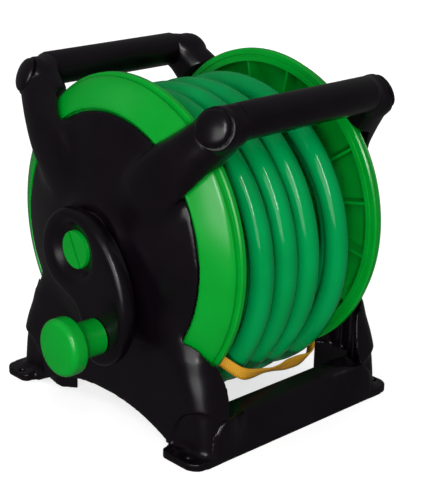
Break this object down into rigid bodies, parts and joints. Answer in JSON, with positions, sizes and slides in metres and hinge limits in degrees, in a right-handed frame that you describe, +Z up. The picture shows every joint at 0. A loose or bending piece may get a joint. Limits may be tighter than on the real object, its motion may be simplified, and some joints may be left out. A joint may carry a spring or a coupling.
{
  "type": "portable hose reel",
  "caption": "Portable garden hose reel: a hose wound on a drum turned by a side crank between two moulded panels joined by grip bars and base bars.",
  "frame": {"origin": "centre of the four foot screw holes, on the floor", "axes": "+X along the drum's axle from the crank side to the inlet side, +Y to the rear, +Z up"},
  "size_m": [0.303, 0.24, 0.26],
  "materials": {
    "frame_black": "satin",
    "drum_green": "gloss",
    "hose_green": "gloss",
    "strap_yellow": "satin",
    "bush_ivory": "satin",
    "steel": "satin",
    "seal_rubber": "matt",
    "connector_grey": "satin"
  },
  "bodies": {
    "frame": {"crank_side_panel": "frame_black", "far_side_panel": "frame_black", "front_grip_bar": "frame_black", "rear_grip_bar": "frame_black", "front_base_bar": "frame_black", "rear_base_bar": "frame_black", "plug_front_crank_side": "frame_black", "plug_rear_crank_side": "frame_black", "plug_front_far_side": "frame_black", "plug_rear_far_side": "frame_black", "crank_side_bush": "bush_ivory", "far_side_bush": "bush_ivory", "inlet_housing": "frame_black", "inlet_seals": "seal_rubber", "inlet_screws": "steel", "base_bar_screws": "steel"},
    "drum": {"drum_barrel": "drum_green", "crank_side_flange": "drum_green", "far_side_flange": "drum_green", "hose_core": "hose_green", "hose_winding": "hose_green", "hose_strap": "strap_yellow", "hose_end_connector": "connector_grey", "crank_arm": "frame_black", "crank_bolt": "drum_green", "knob_spindle": "steel", "knob_screw": "steel", "outlet_elbow": "frame_black"},
    "knob": {"crank_knob": "drum_green", "knob_cap": "drum_green"}
  },
  "joints": [
    {"name": "drum_spin", "type": "hinge", "parent": "frame", "child": "drum", "pos_m": [0, 0, 0.14], "axis": [1, 0, 0], "continuous": true},
    {"name": "knob_spin", "type": "hinge", "parent": "drum", "child": "knob", "pos_m": [-0.1424, -0.0286, 0.08387], "axis": [1, 0, 0], "continuous": true}
  ]
}
